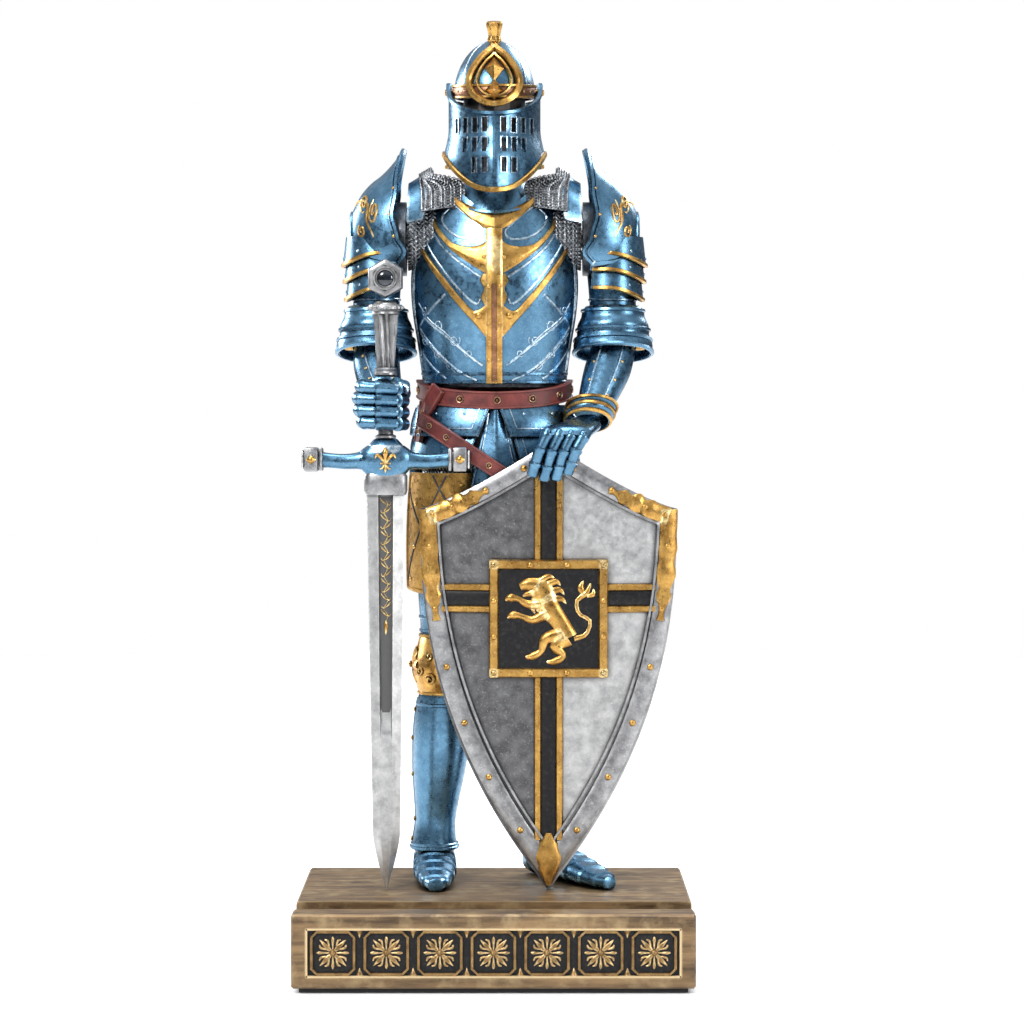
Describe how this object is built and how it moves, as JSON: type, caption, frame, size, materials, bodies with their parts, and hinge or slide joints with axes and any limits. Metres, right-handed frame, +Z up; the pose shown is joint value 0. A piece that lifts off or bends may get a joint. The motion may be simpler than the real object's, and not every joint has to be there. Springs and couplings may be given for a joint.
{
  "type": "armoured knight figure on a phone stand",
  "caption": "Standing armoured knight figure with sword and shield on a rectangular base with a phone groove; visor, head and arms move.",
  "frame": {"origin": "centre of the base's underside", "axes": "+Z up, the knight faces -Y, +X is the knight's left"},
  "size_m": [0.1094, 0.084, 0.2674],
  "materials": {
    "blued_armour": "satin",
    "antique_gold": "satin",
    "brushed_silver": "satin",
    "steel_pins": "satin",
    "dark_mail": "satin",
    "inner_face": "matte",
    "red_leather": "satin",
    "bronzed_wood": "satin",
    "black_felt": "matte"
  },
  "bodies": {
    "root": {"backplate": "blued_armour", "base_block": "bronzed_wood", "base_pad": "black_felt", "belt": "red_leather", "breast_trim": "antique_gold", "breastplate": "blued_armour", "culet": "blued_armour", "fauld_left_lower": "blued_armour", "fauld_left_upper": "blued_armour", "fauld_right_lower": "blued_armour", "fauld_right_upper": "blued_armour", "foot_left": "blued_armour", "foot_right": "blued_armour", "gorget": "blued_armour", "greave_left": "blued_armour", "greave_right": "blued_armour", "hanger_strap": "red_leather", "hip_core": "dark_mail", "knee_cop_left": "antique_gold", "knee_cop_right": "antique_gold", "loin_guard": "blued_armour", "mail_collar": "dark_mail", "shield_board": "brushed_silver", "shield_plaque": "antique_gold", "shoulder_axle": "steel_pins", "shoulder_plate_left": "blued_armour", "shoulder_plate_right": "blued_armour", "tasset_left": "antique_gold", "tasset_right": "antique_gold", "thigh_left": "blued_armour", "thigh_right": "blued_armour", "tile_panel": "bronzed_wood", "torso_core": "dark_mail"},
    "arm_left": {"couter_left": "blued_armour", "elbow_pin_left": "steel_pins", "pauldron_left": "blued_armour", "shoulder_lames_left": "blued_armour", "upper_arm_left": "blued_armour"},
    "arm_right": {"couter_right": "blued_armour", "elbow_pin_right": "steel_pins", "pauldron_right": "blued_armour", "shoulder_lames_right": "blued_armour", "upper_arm_right": "blued_armour"},
    "forearm_left": {"gauntlet_cuff_left": "blued_armour", "vambrace_left": "blued_armour"},
    "forearm_right": {"vambrace_right": "blued_armour"},
    "hand_left": {"hand_left": "blued_armour"},
    "hand_right": {"fist_right": "blued_armour", "sword_blade": "brushed_silver", "sword_grip": "brushed_silver", "sword_guard": "brushed_silver", "sword_pommel": "brushed_silver"},
    "head": {"brow_ornament": "antique_gold", "crest": "antique_gold", "head_core": "inner_face", "helmet_nape": "blued_armour", "helmet_skull": "blued_armour", "visor_pivot_left": "antique_gold", "visor_pivot_right": "antique_gold"},
    "visor": {"visor": "blued_armour"}
  },
  "joints": [
    {"name": "head_turn", "type": "hinge", "parent": "root", "child": "head", "pos_m": [0, 0.019, 0.226], "axis": [0, 0, 1], "range_deg": [-20, 20]},
    {"name": "visor_lift", "type": "hinge", "parent": "head", "child": "visor", "pos_m": [0, 0.018, 0.2476], "axis": [-1, 0, 0], "range_deg": [0, 50]},
    {"name": "shoulder_right_swing", "type": "hinge", "parent": "root", "child": "arm_right", "pos_m": [-0.0334, 0.021, 0.206], "axis": [-1, 0, 0], "range_deg": [0, 45]},
    {"name": "elbow_right_bend", "type": "hinge", "parent": "arm_right", "child": "forearm_right", "pos_m": [-0.034, 0.0205, 0.1755], "axis": [-1, 0, 0], "range_deg": [0, 10]},
    {"name": "wrist_right_swivel", "type": "hinge", "parent": "forearm_right", "child": "hand_right", "pos_m": [-0.0305, 0.005, 0.1585], "axis": [0, 1, 0], "range_deg": [0, 10]},
    {"name": "shoulder_left_swing", "type": "hinge", "parent": "root", "child": "arm_left", "pos_m": [0.0334, 0.021, 0.206], "axis": [-1, 0, 0], "range_deg": [0, 60]},
    {"name": "elbow_left_bend", "type": "hinge", "parent": "arm_left", "child": "forearm_left", "pos_m": [0.034, 0.0205, 0.1755], "axis": [-1, 0, 0], "range_deg": [0, 28]},
    {"name": "wrist_left_bend", "type": "hinge", "parent": "forearm_left", "child": "hand_left", "pos_m": [0.0265, 0.008, 0.1536], "axis": [-1, 0, 0], "range_deg": [0, 15]}
  ]
}
